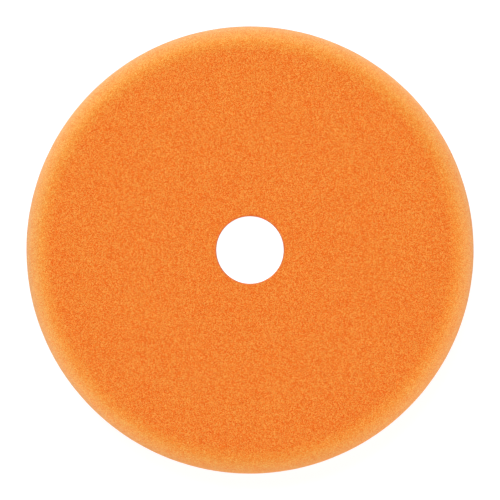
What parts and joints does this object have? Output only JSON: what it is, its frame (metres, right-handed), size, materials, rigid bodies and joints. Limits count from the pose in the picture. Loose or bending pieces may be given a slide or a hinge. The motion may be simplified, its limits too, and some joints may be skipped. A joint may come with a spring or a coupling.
{
  "type": "polishing pad",
  "caption": "Round foam polishing pad with a centre hole, a rounded and bevelled working edge, a side wall that leans in, and a loop-fabric backing.",
  "frame": {"origin": "centre of the plane that the loop tips make, where the pad meets its backing plate", "axes": "+Z along the spin axis, from the loops to the working face; the pad is round, so X and Y are free"},
  "size_m": [0.145, 0.145, 0.0255],
  "materials": {
    "foam": "fine open-cell polyurethane foam, matt, warm orange",
    "adhesive": "hot-melt film, milky and slightly glossy at its cut edges",
    "ground_knit": "close warp-knitted nylon",
    "loops": "brushed nylon loops, off-white"
  },
  "bodies": {
    "root": {"foam_ring": "foam", "bond_film": "adhesive", "backing_cloth": "ground_knit", "loop_pile": "loops"}
  },
  "joints": []
}
